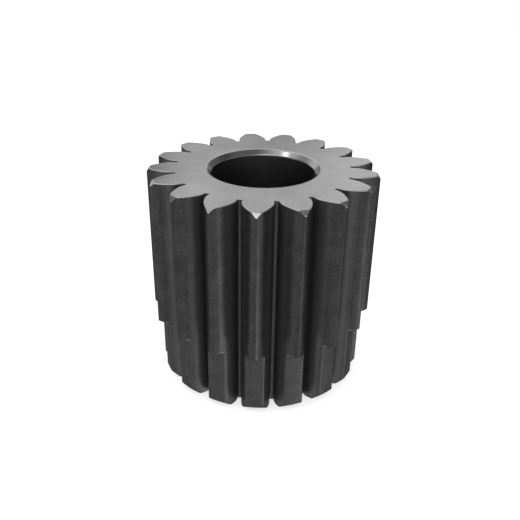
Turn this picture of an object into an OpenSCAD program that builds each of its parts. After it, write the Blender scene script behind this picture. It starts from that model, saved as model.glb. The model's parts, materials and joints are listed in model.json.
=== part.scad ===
// Spur sun gear for a planetary drive, cut in one piece from a turned steel blank.
// It stands on its turned-down end. The origin is on the gear's axis, at the middle of the bore.

/* [Teeth] */
// Number of teeth
teeth = 17; // [15:1:21]
// Pitch diameter for each tooth
tooth_module = 5; // [4.8:0.1:5.4]
// Pressure angle of the flanks, in degrees
pressure_angle = 25; // [22:0.5:26]
// Height of the crests above the pitch circle
addendum = 8.2; // [7.4:0.1:8.6]
// Depth of the groove floor below the pitch circle
dedendum = 4.25; // [3.9:0.05:5]
// Width of a tooth space along the pitch circle
space_w = 3.5; // [3.1:0.1:4.2]

/* [Tooth tip] */
// Width of the narrow land left along each crest
crest_w = 0.7; // [0.4:0.1:1.4]
// Radial height of the tip break on both sides of a crest
tip_break_h = 2.6; // [1.8:0.1:3]

/* [Groove] */
// Width of the groove between its two walls
groove_w = 1.9; // [1.5:0.1:2.4]
// Height above the groove floor at which a flank leaves its involute
relief_h = 4.65; // [4.2:0.05:5.4]
// Radius between a groove wall and the floor
groove_fillet_r = 0.6; // [0.3:0.1:0.7]

/* [Blank] */
// Length of the gear along its axis
gear_l = 97; // [80:1:120]
// Radial depth by which the lower end is turned down below the crests
end_step = 3.7; // [2.5:0.1:4.5]
// Length of the turned-down end
end_l = 30; // [20:1:40]
// Chamfer round the foot of the turned-down end
end_chamfer = 3; // [1:0.5:5]
// Radial width of the chamfer across the tooth tips at the top
top_chamfer_w = 1.4; // [0.8:0.1:2.2]
// Axial height of the chamfer across the tooth tips at the top
top_chamfer_h = 1.9; // [1:0.1:3]

/* [Bore] */
// Diameter of the plain bore
bore_d = 45; // [36:0.5:50]
// Chamfer at both mouths of the bore
bore_chamfer = 2.2; // [1:0.1:3.5]

/* [Hidden] */
pitch_r = teeth * tooth_module / 2;
base_r = pitch_r * cos(pressure_angle);
tip_r = pitch_r + addendum;
root_r = pitch_r - dedendum;
end_r = tip_r - end_step;
bore_r = bore_d / 2;
pitch_angle = 360 / teeth;
round_fn = 180;
flank_steps = 8;
relief_steps = 5;
fillet_steps = 4;
// How far each cut runs past the surface of the blank
overcut = 2;

// Involute function, in degrees
function involute(a) = tan(a) * 180 / PI - a;

// Polar angle from the middle of a tooth space to its involute flank at radius r
function space_angle(r) =
    space_w / (2 * pitch_r) * 180 / PI + involute(acos(base_r / r)) - involute(pressure_angle);

function polar(r, a) = [r * cos(a), r * sin(a)];

// The outline of a tooth space lies along +X. Its upper half has four stretches.

// Quarter round from the groove floor up to the groove wall
function fillet_points() =
    let (centre = [root_r + groove_fillet_r, groove_w / 2 - groove_fillet_r])
    [for (i = [0:fillet_steps])
        let (a = 180 - 90 * i / fillet_steps)
        centre + groove_fillet_r * [cos(a), sin(a)]];

// Quadratic curve from the groove wall out to the involute, tangent to both
function relief_points() =
    let (
        form_r = root_r + relief_h,
        a = space_angle(form_r),
        top = polar(form_r, a),
        slope = a + acos(base_r / form_r),
        bend = [top.x - (top.y - groove_w / 2) / tan(slope), groove_w / 2],
        foot = [root_r + groove_fillet_r, groove_w / 2]
    )
    [for (i = [1:relief_steps])
        let (t = i / relief_steps)
        (1 - t) * (1 - t) * foot + 2 * t * (1 - t) * bend + t * t * top];

// Involute flank up to the tip break
function flank_points() =
    let (first_r = root_r + relief_h, last_r = tip_r - tip_break_h)
    [for (i = [1:flank_steps])
        let (r = first_r + (last_r - first_r) * i / flank_steps)
        polar(r, space_angle(r))];

// Straight tip break to the edge of the crest, carried on past the blank
function tip_break_points() =
    let (
        break_r = tip_r - tip_break_h,
        low = polar(break_r, space_angle(break_r)),
        crest = polar(tip_r, pitch_angle / 2 - asin(crest_w / 2 / tip_r))
    )
    [low + (crest - low) * (1 + overcut / tip_break_h)];

function half_space_points() =
    concat(fillet_points(), relief_points(), flank_points(), tip_break_points());

module tooth_space() {
    upper = half_space_points();
    lower = [for (i = [len(upper) - 1:-1:0]) [upper[i].x, -upper[i].y]];
    translate([0, 0, -overcut])
        linear_extrude(height = gear_l + 2 * overcut)
            polygon(concat(upper, lower));
}

// Turned blank: tip diameter above, smaller end below, bored through, all edges chamfered
module blank() {
    rotate_extrude($fn = round_fn)
        polygon([
            [bore_r + bore_chamfer, 0],
            [end_r - end_chamfer, 0],
            [end_r, end_chamfer],
            [end_r, end_l],
            [tip_r, end_l],
            [tip_r, gear_l - top_chamfer_h],
            [tip_r - top_chamfer_w, gear_l],
            [bore_r + bore_chamfer, gear_l],
            [bore_r, gear_l - bore_chamfer],
            [bore_r, bore_chamfer]
        ]);
}

// One tooth points straight to the front, along -Y
module sun_gear() {
    color([0.27, 0.27, 0.27])
        translate([0, 0, -gear_l / 2])
            difference() {
                blank();
                for (i = [0:teeth - 1])
                    rotate((i + 0.5) * pitch_angle - 90)
                        tooth_space();
            }
}

sun_gear();
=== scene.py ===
import json
import math

import bmesh
import bpy
import numpy as np
from mathutils import Matrix, Vector


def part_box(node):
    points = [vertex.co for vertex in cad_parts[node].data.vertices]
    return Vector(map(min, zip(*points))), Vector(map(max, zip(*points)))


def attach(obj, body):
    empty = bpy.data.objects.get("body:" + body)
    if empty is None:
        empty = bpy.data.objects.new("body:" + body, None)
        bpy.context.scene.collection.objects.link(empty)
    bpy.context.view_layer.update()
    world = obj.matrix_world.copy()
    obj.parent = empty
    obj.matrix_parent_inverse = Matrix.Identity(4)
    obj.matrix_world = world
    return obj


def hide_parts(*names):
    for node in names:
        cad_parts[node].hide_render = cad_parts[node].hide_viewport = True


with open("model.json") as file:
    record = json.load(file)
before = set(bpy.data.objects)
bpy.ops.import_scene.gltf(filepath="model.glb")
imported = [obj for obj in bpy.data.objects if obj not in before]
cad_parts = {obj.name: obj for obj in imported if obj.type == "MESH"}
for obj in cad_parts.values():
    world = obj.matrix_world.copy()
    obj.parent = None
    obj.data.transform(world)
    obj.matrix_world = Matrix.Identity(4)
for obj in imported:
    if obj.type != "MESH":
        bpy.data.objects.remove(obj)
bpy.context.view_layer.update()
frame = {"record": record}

# Camera
# It stands in front of the gear and looks down at it from the photograph's height and distance.
# Its place, turn and lens come from a pinhole camera fitted to the gear's edges in the photograph.
MM = 0.001
gear_low, gear_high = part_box("sun_gear")
foot_z = gear_low.z
camera_reach = 273.85 * MM
camera_height = 194.67 * MM
camera_azimuth = math.radians(2.58)
camera_pan = math.radians(0.17)
camera_tilt = math.radians(27.649)
camera_roll = math.radians(0.93)
focal_px = 661
frame_px = 520

camera_data = bpy.data.cameras.new("studio_camera")
camera_data.sensor_width = 36
camera_data.lens = camera_data.sensor_width * focal_px / frame_px
camera_data.clip_start = 0.01
camera_data.clip_end = 20
camera = bpy.data.objects.new("studio_camera", camera_data)
camera.matrix_world = (
    Matrix.Translation((camera_reach * math.sin(camera_azimuth),
                        -camera_reach * math.cos(camera_azimuth),
                        foot_z + camera_height))
    @ Matrix.Rotation(camera_azimuth + camera_pan, 4, "Z")
    @ Matrix.Rotation(math.pi / 2 - camera_tilt, 4, "X")
    @ Matrix.Rotation(camera_roll, 4, "Z")
)
bpy.context.scene.collection.objects.link(camera)
bpy.context.scene.camera = camera

# Sun gear: cut teeth
# Seventeen straight spur teeth, hobbed into the blank by a full-depth cutter that also breaks the
# tips, so each tooth runs from a narrow round-bottomed groove up an involute to a blunt point.
teeth = 17
tooth_module = 5 * MM
pressure_angle = math.radians(25)
space_w = 3.5 * MM
dedendum = 4.25 * MM
crest_w = 0.7 * MM
tip_break_h = 2.6 * MM
groove_w = 1.9 * MM
relief_h = 4.65 * MM
groove_fillet_r = 0.6 * MM
end_step = 3.7 * MM
# Reach of the soft crease between flank and tip break, and rise of the break's crown
crease_reach = 1.0 * MM
break_crown = 0.22 * MM
# Reach of the worn corners at the crest of the full teeth and at the land of the turned-down ones
crest_corner = 0.1 * MM
land_corner = 0.6 * MM

pitch_angle = 2 * math.pi / teeth
pitch_r = teeth * tooth_module / 2
base_r = pitch_r * math.cos(pressure_angle)
root_r = pitch_r - dedendum
tip_r = -gear_low.y
end_r = tip_r - end_step
form_r = root_r + relief_h
break_r = tip_r - tip_break_h

# Columns on each stretch of half a tooth space, from the middle of the groove to that of the crest
STRETCHES = {"floor": 1, "fillet": 4, "relief": 6, "involute": 8, "upper": 2, "crease": 5,
             "break": 6, "corner": 4, "crest": 2}
HALF = sum(STRETCHES.values())
COLUMNS = 2 * HALF * teeth


def first_column(name):
    """The first column of a stretch: all the stretches before it, added up."""
    names = list(STRETCHES)
    return sum(STRETCHES[n] for n in names[:names.index(name)])


# How many columns each column lies from the middle of its groove, and its share of the way over the
# crease: 0 before it and 1 past it
folded = np.tile(HALF - abs(np.arange(2 * HALF) - HALF), teeth)
past_crease = np.clip((folded - first_column("crease")) / STRETCHES["crease"], 0, 1)


def space_angle(r):
    """Angle from the middle of a tooth space to its flank at radius r: half the space at the pitch
    circle, plus the involute function tan(a) - a there, less its value at the pressure angle."""
    a = np.arccos(base_r / r)
    return space_w / (2 * pitch_r) + np.tan(a) - a - (math.tan(pressure_angle) - pressure_angle)


def flank(r):
    """Points of the involute at radius r, as complex numbers x + iy with x along the groove."""
    return r * np.exp(1j * space_angle(r))


def steps(count):
    """Shares of the way along a stretch, from 0 and short of 1."""
    return np.arange(count) / count


def curve(start, bend, end, count):
    """Quadratic curve (1-t)^2 start + 2t(1-t) bend + t^2 end, which leaves and arrives along the
    lines to the bend."""
    t = steps(count)
    return (1 - t) ** 2 * start + 2 * t * (1 - t) * bend + t ** 2 * end


def tip_break(cap, samples=400, tolerance=1e-6):
    """The break from the flank's top to the crest, as far as radius cap: the straight line between
    the two plus a slight crown of 4u(1 - u), away from the steel, at a share u of the way."""
    low = flank(break_r)
    high = tip_r * np.exp(1j * (pitch_angle / 2 - math.asin(crest_w / 2 / tip_r)))
    u = np.linspace(0, 1, samples)
    line = low + (high - low) * (u - 4j * break_crown / abs(high - low) * u * (1 - u))
    return line[abs(line) <= cap * (1 + tolerance)]


def half_space(cap, turned):
    """Half a tooth space cut off at radius cap, from the groove floor to the middle of the crest. A
    quarter round and a quadratic lead from the floor to the involute. Full teeth go on over a soft
    crease, the tip break and a small corner to the crest; turned-down ones over one corner."""
    n = STRETCHES
    wall = groove_w / 2
    centre = root_r + groove_fillet_r + 1j * (wall - groove_fillet_r)
    foot = root_r + groove_fillet_r + 1j * wall
    top = flank(form_r)
    slope = space_angle(form_r) + math.acos(base_r / form_r)
    bend = top.real - (top.imag - wall) / math.tan(slope) + 1j * wall
    upper_r = min(end_r, cap) - land_corner
    parts = [
        np.full(n["floor"], root_r, complex),
        centre + groove_fillet_r * np.exp(1j * (math.pi - math.pi / 2 * steps(n["fillet"]))),
        curve(foot, bend, top, n["relief"]),
        flank(form_r + (upper_r - form_r) * steps(n["involute"])),
    ]
    middle = pitch_angle / 2
    if turned:
        land_from = space_angle(cap) + land_corner / cap
        rounding = n["upper"] + n["crease"]
        land = n["break"] + n["corner"] + n["crest"]
        parts += [
            curve(flank(upper_r), flank(cap), cap * np.exp(1j * land_from), rounding),
            cap * np.exp(1j * (land_from + (middle - land_from) * steps(land))),
        ]
    else:
        line = tip_break(cap)
        along = np.append(0, np.cumsum(abs(np.diff(line))))
        crease_r = break_r - crease_reach * math.sqrt(1 - (base_r / break_r) ** 2)
        crest_from = np.angle(line[-1]) + crest_corner / cap
        stretch = crease_reach + (along[-1] - crest_corner - crease_reach) * np.append(
            steps(n["break"]), 1)
        breaks = np.interp(stretch, along, line.real) + 1j * np.interp(stretch, along, line.imag)
        parts += [
            flank(upper_r + (crease_r - upper_r) * steps(n["upper"])),
            curve(flank(crease_r), line[0], breaks[0], n["crease"]),
            breaks[:-1],
            curve(breaks[-1], line[-1], cap * np.exp(1j * crest_from), n["corner"]),
            cap * np.exp(1j * (crest_from + (middle - crest_from) * steps(n["crest"]))),
        ]
    return np.append(np.concatenate(parts), cap * np.exp(1j * middle))


def outline(cap, turned, inset=0, deburr=0):
    """The whole toothed outline at radius cap: half a space and its mirror image, turned to each
    groove. Every point then moves into the steel along the outline's normal by the inset, and by
    the deburr only past the crease, where it grows from nothing."""
    half = half_space(cap, turned)
    one = np.concatenate([half, half[-2:0:-1].conj() * np.exp(1j * pitch_angle)])
    turns = np.exp(1j * ((np.arange(teeth) + 0.5) * pitch_angle - math.pi / 2))
    ring = (turns[:, None] * one[None, :]).ravel()
    ahead = np.roll(ring, -1) - ring
    behind = ring - np.roll(ring, 1)
    tangent = ahead / abs(ahead) ** 2 + behind / abs(behind) ** 2
    return ring + 1j * (inset + deburr * past_crease) * tangent / abs(tangent)


# Sun gear: turned blank
# A forged steel ring, turned to the tip diameter above and a smaller one below, bored through,
# chamfered at every mouth and rim, and ground flat on both ends after the teeth were cut.
bore_mount = next(m for m in frame["record"]["mounts"] if m["name"] == "bore")
bore_r = bore_mount["dims"]["r_mm"] * MM
gear_l = gear_high.z - gear_low.z
end_l = 30 * MM
end_chamfer = 3 * MM
top_chamfer_w = 1.4 * MM
top_chamfer_h = 1.9 * MM
bore_chamfer = 2.2 * MM
edge_round = 0.25 * MM
burr_round = 0.25 * MM
nose_r = 0.35 * MM
# Width of the narrow rows beside an edge, which keep its shading off the surfaces that it joins
hold = 0.2 * MM
# Rows of faces round each rounded edge
round_rows = 3

# How bare the edges are rubbed, and how strongly highlights and glints are painted along them, from 0
# to 1
land_rub = 0.04
foot_rim_rub = 0.08
foot_chamfer_rub = 0.2
# The next three paint a glint along the step's lower edge, strongest at each tooth's corners
step_tip_rub = 0.1
step_corner_glint = 0.9
over_step_rub = 0.4
top_rim_wear_and_highlight = 0.15

ROWS = []


def edge_over(first, last):
    """A ridge across the columns: 1 halfway from one stretch to the start of another, 0 at both."""
    low, high = first_column(first), first_column(last)
    return np.clip(1 - abs(2 * folded - low - high) / (high - low), 0, 1)


def add_row(height, ring, finish, edges=np.zeros(COLUMNS), edge=0, where=np.ones(COLUMNS)):
    """One row of the gear's skin: its height above the foot, its points, the finish of the faces up
    to the next row, and how far each point is rubbed bare, with highlights and glints painted on, by
    the edges that cross the row and by the edge that it runs along."""
    ROWS.append((height, ring, finish, np.maximum(edges, edge * where)))


def quarter():
    """Angles from 0 to a right angle, both ends included, for the rows round an edge."""
    return np.linspace(0, math.pi / 2, round_rows + 1)


# Foot: rounded rim of the end face, then the chamfer across the tooth ends
land_edges = land_rub * edge_over("upper", "break")
past_corner = (folded > first_column("corner")).astype(float)
foot_cap = end_r - end_chamfer
add_row(0, outline(foot_cap, True, edge_round + hold), "end_face")
for a in quarter()[::-1]:
    z = edge_round * (1 - math.sin(a))
    add_row(z, outline(foot_cap + z, True, edge_round * (1 - math.cos(a))), "foot_chamfer",
            land_edges, foot_rim_rub * math.sin(2 * a))
add_row(edge_round + hold, outline(foot_cap + edge_round + hold, True), "foot_chamfer", land_edges)
for t in np.linspace(0, 1, round_rows + 1):
    z = end_chamfer + edge_round * (t ** 2 - (1 - t) ** 2)
    add_row(z, outline(end_r - edge_round * (1 - t) ** 2, True),
            "foot_chamfer" if t < 0.5 else "turned_end",
            land_edges, foot_chamfer_rub * t * (1 - t), past_corner)
for z in (end_chamfer + edge_round + hold, end_l / 2, end_l - nose_r - hold):
    add_row(z, outline(end_r, True), "turned_end", land_edges)

# Step: the turning tool's nose radius, the step face and the deburred lower edge of the full teeth,
# with a painted glint at each tooth's corners
for a in quarter():
    add_row(end_l - nose_r * (1 - math.sin(a)), outline(end_r + nose_r * (1 - math.cos(a)), True),
            "step", land_edges)
add_row(end_l, outline(tip_r, False, 0, burr_round + hold), "step")
step_wear_and_glint = step_tip_rub * past_crease + step_corner_glint * edge_over("upper", "break")
for a in quarter()[::-1]:
    add_row(end_l + burr_round * (1 - math.sin(a)),
            outline(tip_r, False, 0, burr_round * (1 - math.cos(a))), "full_teeth",
            edge=math.sin(2 * a), where=step_wear_and_glint)
add_row(end_l + burr_round + hold, outline(tip_r, False), "full_teeth",
        edge=over_step_rub, where=step_wear_and_glint)
for z in (end_l + burr_round + 2 * hold, (end_l + gear_l) / 2,
          gear_l - top_chamfer_h - edge_round - hold):
    add_row(z, outline(tip_r, False), "full_teeth")

# Top: the chamfer across the tooth tips, the rounded rim and the end face
chamfer_slope = top_chamfer_w / top_chamfer_h
for t in np.linspace(0, 1, round_rows + 1):
    z = gear_l - top_chamfer_h + edge_round * (t ** 2 - (1 - t) ** 2)
    add_row(z, outline(tip_r - edge_round * chamfer_slope * t ** 2, False), "top_chamfer")
top_cap = tip_r - top_chamfer_w
add_row(gear_l - edge_round - hold,
        outline(top_cap + (edge_round + hold) * chamfer_slope, False), "top_chamfer")
# The rim is rubbed, and a thin highlight painted along it, from the walls of the groove, over a few
# columns, to the corner of the crest
rim_wear_and_highlight = np.clip((folded - first_column("relief")) / 4, 0, 1) * (1 - past_corner)
for a in quarter():
    z = edge_round * (1 - math.sin(a))
    add_row(gear_l - z,
            outline(top_cap + z * chamfer_slope, False, edge_round * (1 - math.cos(a))), "rim",
            edge=top_rim_wear_and_highlight, where=rim_wear_and_highlight)
rim = ROWS[-1][1]

# The end faces run from the teeth to a round ring, on which each groove takes a wider share than it
# has, so that lines from its walls to the ring run through the steel
inner_r = root_r - 2 * MM
groove_share = 0.25
close_to_rim = (0.02, 0.05)


def circle(r):
    """A ring with the outline's columns at radius r: even within a groove's share and within the
    rest."""
    wall = first_column("relief")
    share = np.interp(np.arange(2 * HALF), [0, wall, 2 * HALF - wall, 2 * HALF],
                      [0, groove_share / 2, 1 - groove_share / 2, 1])
    turns = (np.arange(teeth)[:, None] + 0.5 + share[None, :]).ravel() * pitch_angle
    return r * np.exp(1j * (turns - math.pi / 2))


for way in (*close_to_rim, 1):
    add_row(gear_l, rim + way * (circle(inner_r) - rim), "end_face")

# Bore: a chamfer at each mouth with rubbed edges, along which a thin highlight is also painted, and
# the wall between them. Each row of a mouth has its radius, its depth in from the end face, the finish
# of the faces further in, and how bare it is, which is also how much highlight is painted on it.
mouth_r = bore_r + bore_chamfer
mouth = [
    (mouth_r + 5 * hold, 0, "end_face", 0),
    (mouth_r + 3 * hold, 0, "end_face", 0),
    (mouth_r + hold, 0, "end_face", 0.15),
    (mouth_r + hold / 4, hold / 4, "end_face", 0.1),
    (mouth_r - hold * 0.7, hold * 0.7, "bore_chamfer", 0.1),
    (mouth_r - hold * 2, hold * 2, "bore_chamfer", 0),
    (bore_r + hold * 2, bore_chamfer - hold * 2, "bore_chamfer", 0),
    (bore_r + hold * 0.7, bore_chamfer - hold * 0.7, "bore_chamfer", 0.1),
    (bore_r + hold / 4, bore_chamfer + hold / 4, "bore", 0.2),
    (bore_r, bore_chamfer + hold, "bore", 0),
    (bore_r, bore_chamfer + hold * 2, "bore", 0),
]
for r, depth, finish, edge in mouth:
    add_row(gear_l - depth, circle(r), finish, edge=edge)
add_row(gear_l / 2, circle(bore_r), "bore")
for k in reversed(range(len(mouth))):
    r, depth, _, edge = mouth[k]
    add_row(depth, circle(r), mouth[max(k - 1, 0)][2], edge=edge)
add_row(0, circle(inner_r), "end_face")

# Steel of the faces on each kind of row. Where a tool cut across the teeth, it is the steel on the
# lands, and the flanks stay as the hob left them.
STEELS = {"end_face": "ground", "rim": "stoned", "full_teeth": "hobbed", "bore_chamfer": "countersunk",
          "bore": "bored", "foot_chamfer": "turned", "turned_end": "turned", "step": "turned",
          "top_chamfer": "chamfered"}
ORDER = ["hobbed", "ground", "stoned", "turned", "chamfered", "countersunk", "bored"]


def face_steels(finishes):
    """The number in ORDER of each face's steel, row by row: that of the row's finish, but hobbed on
    the flanks of the tooth ends, up to the land's corner or the edge of the crest."""
    column = np.arange(2 * HALF)
    column = np.tile(np.minimum(column, 2 * HALF - 1 - column), teeth)
    flanks = {"turned": column < first_column("crease") + 1,
              "chamfered": column < first_column("crest") - 1}
    table = []
    for finish in finishes:
        steel = STEELS[finish]
        hobbed = flanks.get(steel, np.zeros(COLUMNS, bool))
        table.append(np.where(hobbed, ORDER.index("hobbed"), ORDER.index(steel)))
    return np.array(table)


def closed_grid(name, points, face_kind, marks, same_point=1e-7):
    """A skin whose rows and columns both join up end to end: each face takes the four points between
    one row and the next. Points that coincide are merged, and the faces point outwards. The marks
    give the points' values by name."""
    rows, columns, _ = points.shape
    i, j = np.meshgrid(np.arange(rows), np.arange(columns), indexing="ij")
    i_next, j_next = (i + 1) % rows, (j + 1) % columns
    quads = np.stack([i * columns + j, i * columns + j_next,
                      i_next * columns + j_next, i_next * columns + j], axis=-1).reshape(-1, 4)
    mesh = bpy.data.meshes.new(name)
    mesh.vertices.add(rows * columns)
    mesh.vertices.foreach_set("co", points.reshape(-1).astype(np.float32))
    mesh.loops.add(quads.size)
    mesh.loops.foreach_set("vertex_index", quads.reshape(-1).astype(np.int32))
    mesh.polygons.add(len(quads))
    mesh.polygons.foreach_set("loop_start", np.arange(0, quads.size, 4, dtype=np.int32))
    mesh.polygons.foreach_set("material_index", face_kind.reshape(-1).astype(np.int32))
    mesh.polygons.foreach_set("use_smooth", np.ones(len(quads), bool))
    mesh.update(calc_edges=True)
    for mark, values in marks.items():
        layer = mesh.attributes.new(mark, "FLOAT", "POINT")
        layer.data.foreach_set("value", values.reshape(-1).astype(np.float32))
    skin = bmesh.new()
    skin.from_mesh(mesh)
    bmesh.ops.remove_doubles(skin, verts=skin.verts, dist=same_point)
    if skin.calc_volume(signed=True) < 0:
        bmesh.ops.reverse_faces(skin, faces=skin.faces)
    skin.to_mesh(mesh)
    skin.free()
    return bpy.data.objects.new(name, mesh)


# Painted light in the grooves: how much each column is paled to lift the grooves' shade, most at the
# foot of its walls
groove_painted_light = np.interp(folded, [0, 2, first_column("relief"), first_column("relief") + 3,
                             first_column("involute") + 4, first_column("crease")],
                    [0.05, 0.4, 0.9, 0.35, 0.4, 0])

heights = np.array([row[0] for row in ROWS]) + foot_z
rings = np.array([row[1] for row in ROWS])
finishes = [row[2] for row in ROWS]
toothed = [finish not in ("end_face", "bore_chamfer", "bore") for finish in finishes]
skin_points = np.stack([rings.real, rings.imag, np.repeat(heights[:, None], COLUMNS, 1)], axis=-1)
# Marks on each point: rubbed edges with painted highlights and glints, and painted light in the
# grooves
gear = closed_grid("sun_gear_skin", skin_points, face_steels(finishes), {
    "wear_and_highlight": np.array([row[3] for row in ROWS]), "groove_painted_light": np.outer(toothed, groove_painted_light)})
bpy.context.scene.collection.objects.link(gear)
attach(gear, "root")
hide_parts("sun_gear")

# Sun gear: steel finishes
# Case-hardened alloy steel, bare and lightly oiled. Each surface keeps the marks of the machine that
# made it: the hob on the teeth, the lathe on the lands and chamfers, the grinder on the end faces.
speck_w = 0.9 * MM
# How far the tone's two noises together, and the marks' noise alone, swing from their middle
tone_swing = 0.3
marks_swing = 0.2
rough_swing = 0.01


def linear(hex_colour):
    """An sRGB hex colour as linear red, green, blue and alpha, by the sRGB curve."""
    values = [int(hex_colour[k:k + 2], 16) / 255 for k in (1, 3, 5)]
    return [v / 12.92 if v <= 0.04045 else ((v + 0.055) / 1.055) ** 2.4 for v in values] + [1]


def add_node(tree, kind, inputs=None, **settings):
    """Adds a node. The settings are its own properties. The inputs give, for a socket's name or
    number, a value or the output that feeds it. A mix of colours has its factor, its two colours and
    its result on sockets 0, 6, 7 and 2."""
    made = tree.nodes.new(kind)
    for key, value in settings.items():
        setattr(made, key, value)
    for key, value in (inputs or {}).items():
        if isinstance(value, bpy.types.NodeSocket):
            tree.links.new(value, made.inputs[key])
        else:
            made.inputs[key].default_value = value
    return made


def machined_steel(name, dark, light, wear_and_highlight_colour, marks_per_mm, rough, relief_mm, bare=1,
                   grazing="#ffffff", groove_painted_light_colour=None, lay=0, patch_mm=6, grain=0):
    """Steel in two tones mixed by tool marks and by broad patches, paler along rubbed edges, where
    highlights and glints are also painted, and paler in the grooves, where light is painted in to lift
    their shade, with the marks as a low relief. marks_per_mm is how many marks a millimetre holds
    along X, Y and Z, rough the surface's roughness and relief_mm the marks' depth.
    bare is the share of clean metal in the surface, grazing the tint of its glancing reflections,
    lay how much rings round the axis stretch the reflections outwards, patch_mm the size of the
    broad patches, and grain the strength of a fine even mottling."""
    material = bpy.data.materials.new(name)
    material.use_nodes = True
    tree = material.node_tree
    tree.nodes.clear()
    place = add_node(tree, "ShaderNodeTexCoord").outputs["Object"]
    stretched = add_node(tree, "ShaderNodeMapping", {
        "Vector": place, "Scale": [m / MM for m in marks_per_mm]}, vector_type="POINT")
    marks = add_node(tree, "ShaderNodeTexNoise", {
        "Vector": stretched.outputs["Vector"], "Scale": 1, "Detail": 3, "Roughness": 0.6})
    patches = add_node(tree, "ShaderNodeTexNoise", {
        "Vector": place, "Scale": 1 / (patch_mm * MM), "Detail": 1})
    blend = add_node(tree, "ShaderNodeMath", {
        0: marks.outputs["Fac"], 1: patches.outputs["Fac"]}, operation="ADD")
    if grain:
        specks = add_node(tree, "ShaderNodeTexNoise", {
            "Vector": place, "Scale": 1 / speck_w, "Detail": 1})
        centred = add_node(tree, "ShaderNodeMath", {
            0: specks.outputs["Fac"], 1: 0.5}, operation="SUBTRACT")
        blend = add_node(tree, "ShaderNodeMath", {
            0: centred.outputs[0], 1: grain, 2: blend.outputs[0]}, operation="MULTIPLY_ADD")
    tone = add_node(tree, "ShaderNodeMapRange", {
        "Value": blend.outputs[0], "From Min": 1 - tone_swing, "From Max": 1 + tone_swing})
    base = add_node(tree, "ShaderNodeMix", {
        0: tone.outputs[0], 6: linear(dark), 7: linear(light)}, data_type="RGBA").outputs[2]
    # Rubbed edges are paled, which also paints highlights and glints on them
    wear_and_highlight = add_node(tree, "ShaderNodeAttribute", attribute_name="wear_and_highlight").outputs["Fac"]
    base = add_node(tree, "ShaderNodeMix", {
        0: wear_and_highlight, 6: base, 7: linear(wear_and_highlight_colour)}, data_type="RGBA").outputs[2]
    # Painted light: the grooves are paled to lift their shade
    if groove_painted_light_colour:
        groove_light_fac = add_node(tree, "ShaderNodeAttribute", attribute_name="groove_painted_light").outputs["Fac"]
        base = add_node(tree, "ShaderNodeMix", {
            0: groove_light_fac, 6: base, 7: linear(groove_painted_light_colour)}, data_type="RGBA").outputs[2]
    roughness = add_node(tree, "ShaderNodeMapRange", {
        "Value": marks.outputs["Fac"], "From Min": 0.5 - marks_swing, "From Max": 0.5 + marks_swing,
        "To Min": rough - rough_swing, "To Max": rough + rough_swing})
    bump = add_node(tree, "ShaderNodeBump", {
        "Height": marks.outputs["Fac"], "Strength": 1, "Distance": relief_mm * MM})
    outwards = add_node(tree, "ShaderNodeVectorMath", {0: place, 1: (1, 1, 0)},
                        operation="MULTIPLY").outputs[0]
    shader = add_node(tree, "ShaderNodeBsdfPrincipled", {
        "Base Color": base, "Roughness": roughness.outputs[0], "Metallic": bare,
        "Specular Tint": linear(grazing), "Anisotropic": lay, "Tangent": outwards,
        "Normal": bump.outputs["Normal"]})
    add_node(tree, "ShaderNodeOutputMaterial", {"Surface": shader.outputs["BSDF"]})
    return material


steels = {
    # Hobbed flanks: dark satin, faint streaks along the cutter's path and a fine mottling, with light
    # painted into the grooves
    "hobbed": machined_steel("hobbed_steel", "#373737", "#454545", "#b0b0b0", (0.7, 0.7, 0.1), 0.31,
                             0.0006, 0.6, "#808080", "#6a6a6a", grain=1.2),
    # Ground ends: pale and even, with rings too fine to see that stretch the light outwards
    "ground": machined_steel("ground_steel", "#a7a7a7", "#b5b5b5", "#f0f0f0", (0.1, 0.1, 0.1), 0.17,
                             0.0, lay=0.4, patch_mm=14),
    # Rim of the end face: stoned matt, so it catches light evenly as a thin pale line
    "stoned": machined_steel("stoned_steel", "#a8a8a8", "#b4b4b4", "#f0f0f0", (0.1, 0.1, 0.1), 0.42,
                             0.0),
    # Turned lands: nearly as dark as the flanks, rings 0.4 mm apart, coarser than real ones to show
    "turned": machined_steel("turned_steel", "#3f3f3f", "#4b4b4b", "#b0b0b0", (0.1, 0.1, 2.5), 0.36,
                             0.002, 0.6, "#808080", grain=1.0),
    # Chamfers across the tips: bright from the tool, with the same rings
    "chamfered": machined_steel("chamfered_steel", "#b0b0b0", "#bababa", "#f0f0f0", (0.1, 0.1, 2.5),
                                0.22, 0.001),
    # Chamfers of the bore: bright from the tool, and ringed
    "countersunk": machined_steel("countersunk_steel", "#999999", "#a7a7a7", "#e0e0e0",
                                  (0.1, 0.1, 2.5), 0.2, 0.001, lay=0.5),
    # Bore: duller and matt, with close rings from the boring bar
    "bored": machined_steel("bored_steel", "#585858", "#626262", "#808080", (0.1, 0.1, 3), 0.45, 0.002,
                            1, "#808080"),
}
for steel in ORDER:
    gear.data.materials.append(steels[steel])

# Floor and background
# A plain white sheet under the gear. It fades into the white background well outside the shadow, and
# the gear's faces don't see it, so that they meet the white room below as well.
# Reach of the sheet, and the distances between which it fades, in metres
floor_reach = 1.5
fade_from = 0.3
fade_to = 0.7
paper_glow = 0.6
floor_mesh = bpy.data.meshes.new("studio_floor")
floor_mesh.from_pydata([(-floor_reach, -floor_reach, foot_z), (floor_reach, -floor_reach, foot_z),
                        (floor_reach, floor_reach, foot_z), (-floor_reach, floor_reach, foot_z)],
                       [], [(0, 1, 2, 3)])
floor = bpy.data.objects.new("studio_floor", floor_mesh)
floor.visible_glossy = False
floor.visible_diffuse = False
floor.visible_shadow = False
bpy.context.scene.collection.objects.link(floor)

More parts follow.
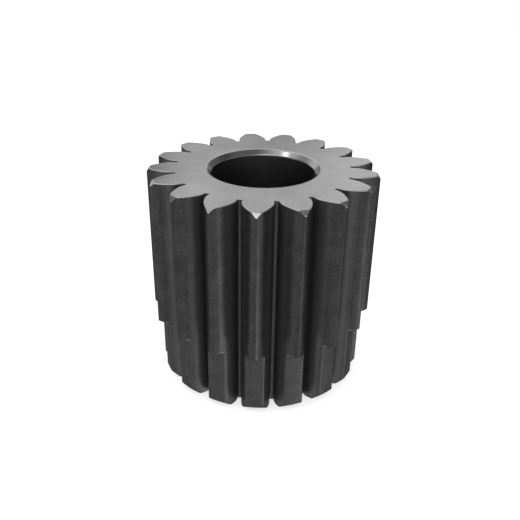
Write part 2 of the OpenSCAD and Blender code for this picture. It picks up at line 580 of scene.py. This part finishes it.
# White paper: matt, with a glow of its own that keeps it white while the lamps stay low
paper = bpy.data.materials.new("white_paper")
paper.use_nodes = True
tree = paper.node_tree
tree.nodes.clear()
place = add_node(tree, "ShaderNodeTexCoord").outputs["Object"]
level = add_node(tree, "ShaderNodeVectorMath", {0: place, 1: (1, 1, 0)}, operation="MULTIPLY")
away = add_node(tree, "ShaderNodeVectorMath", {0: level.outputs[0]}, operation="LENGTH")
fade = add_node(tree, "ShaderNodeMapRange", {
    "Value": away.outputs["Value"], "From Min": fade_from, "From Max": fade_to})
matt = add_node(tree, "ShaderNodeBsdfDiffuse", {"Color": linear("#f4f4f4")})
glow = add_node(tree, "ShaderNodeEmission", {"Color": linear("#ffffff"), "Strength": paper_glow})
lit = add_node(tree, "ShaderNodeAddShader", {0: matt.outputs[0], 1: glow.outputs[0]})
white = add_node(tree, "ShaderNodeEmission", {"Color": linear("#ffffff"), "Strength": 1.0})
surface = add_node(tree, "ShaderNodeMixShader", {
    0: fade.outputs[0], 1: lit.outputs[0], 2: white.outputs[0]})
add_node(tree, "ShaderNodeOutputMaterial", {"Surface": surface.outputs[0]})
floor_mesh.materials.append(paper)

# Studio room
# White all round, as the gear's faces mirror it, with softly dimmer and brighter parts. Its light on
# matt surfaces is even, and the camera itself sees plain white.
darkest = 0.12
even_light = 0.7


def towards(azimuth, elevation):
    """Unit vector for an azimuth to the right of the gear's front and an elevation, in degrees."""
    a, e = math.radians(azimuth), math.radians(elevation)
    return Vector((math.sin(a) * math.cos(e), -math.cos(a) * math.cos(e), math.sin(e)))


# Azimuth, elevation, radius of the even middle, outer radius, in degrees, and how much it adds
ROOM_PARTS = [
    (-135, -45, 20, 62, -0.52),
    (130, 8, 15, 50, -0.8),
    (118, -35, 10, 38, -0.32),
    (75, 58, 21, 50, -0.79),
    (-165, 0, 10, 26, -0.65),
    (-161, 20, 3, 9, -0.55),
    (179, 11, 2, 8, -0.8),
    (-178, 24, 2, 8, -0.22),
    (-100, 22, 12, 32, -0.75),
    (-55, 42, 8, 24, -0.5),
    (0, 47, 6, 20, 0.6),
    (-25, -30, 4, 14, -0.35),
    (-92, -32, 8, 22, 0.3),
    (68, -40, 2, 8, 2.6),
    (63, -32, 2, 8, 3.0),
    (60, -26, 2, 7, 1.2),
    (44, -44, 6, 14, 0.65),
]

world = bpy.data.worlds.new("studio_room")
bpy.context.scene.world = world
world.use_nodes = True
tree = world.node_tree
tree.nodes.clear()
ray = add_node(tree, "ShaderNodeTexCoord").outputs["Generated"]
brightness = 1.0
for azimuth, elevation, inner, outer, change in ROOM_PARTS:
    near = add_node(tree, "ShaderNodeVectorMath", {
        0: ray, 1: towards(azimuth, elevation)}, operation="DOT_PRODUCT").outputs["Value"]
    part = add_node(tree, "ShaderNodeMapRange", {
        "Value": near, "From Min": math.cos(math.radians(outer)),
        "From Max": math.cos(math.radians(inner)), "To Min": 0.0, "To Max": change},
        interpolation_type="SMOOTHSTEP").outputs[0]
    brightness = add_node(tree, "ShaderNodeMath", {0: brightness, 1: part},
                          operation="ADD").outputs[0]
brightness = add_node(tree, "ShaderNodeMath", {0: brightness, 1: darkest},
                      operation="MAXIMUM").outputs[0]
path = add_node(tree, "ShaderNodeLightPath").outputs
cast = add_node(tree, "ShaderNodeMix", {
    "Factor": path["Is Glossy Ray"], "A": even_light, "B": brightness}).outputs["Result"]
open_air = add_node(tree, "ShaderNodeMath", {
    0: path["Is Camera Ray"], 1: path["Is Transmission Ray"]}, operation="MAXIMUM").outputs[0]
seen = add_node(tree, "ShaderNodeMix", {"Factor": open_air, "A": cast, "B": 1.0})
air = add_node(tree, "ShaderNodeBackground", {
    "Color": linear("#ffffff"), "Strength": seen.outputs["Result"]})
add_node(tree, "ShaderNodeOutputWorld", {"Surface": air.outputs[0]})

# Studio lamps
# Three soft boxes: a large one in front, and a small and a middling one high on the left. They stand
# 0.8 to 0.9 m from the gear and add little to the room's even light.


def soft_box(name, azimuth, elevation, distance, width, height, brightness):
    """A rectangular lamp that faces the gear, with its sizes in metres. Its brightness is in times
    that of the white room, so its power is brightness times pi times its area."""
    lamp = bpy.data.lights.new(name, "AREA")
    lamp.shape = "RECTANGLE"
    lamp.size = width
    lamp.size_y = height
    lamp.energy = brightness * math.pi * width * height
    way = towards(azimuth, elevation)
    box = bpy.data.objects.new(name, lamp)
    box.matrix_world = (Matrix.Translation(way * distance)
                        @ way.to_track_quat("Z", "Y").to_matrix().to_4x4())
    bpy.context.scene.collection.objects.link(box)


soft_box("front_soft_box", 3, 14, 0.9, 0.8, 0.7, 0.3)
soft_box("left_soft_box", -71, 60, 0.8, 0.13, 0.13, 4.5)
soft_box("top_left_soft_box", -50, 45, 0.8, 0.3, 0.3, 0.3)

bpy.context.scene.view_settings.view_transform = "Standard"
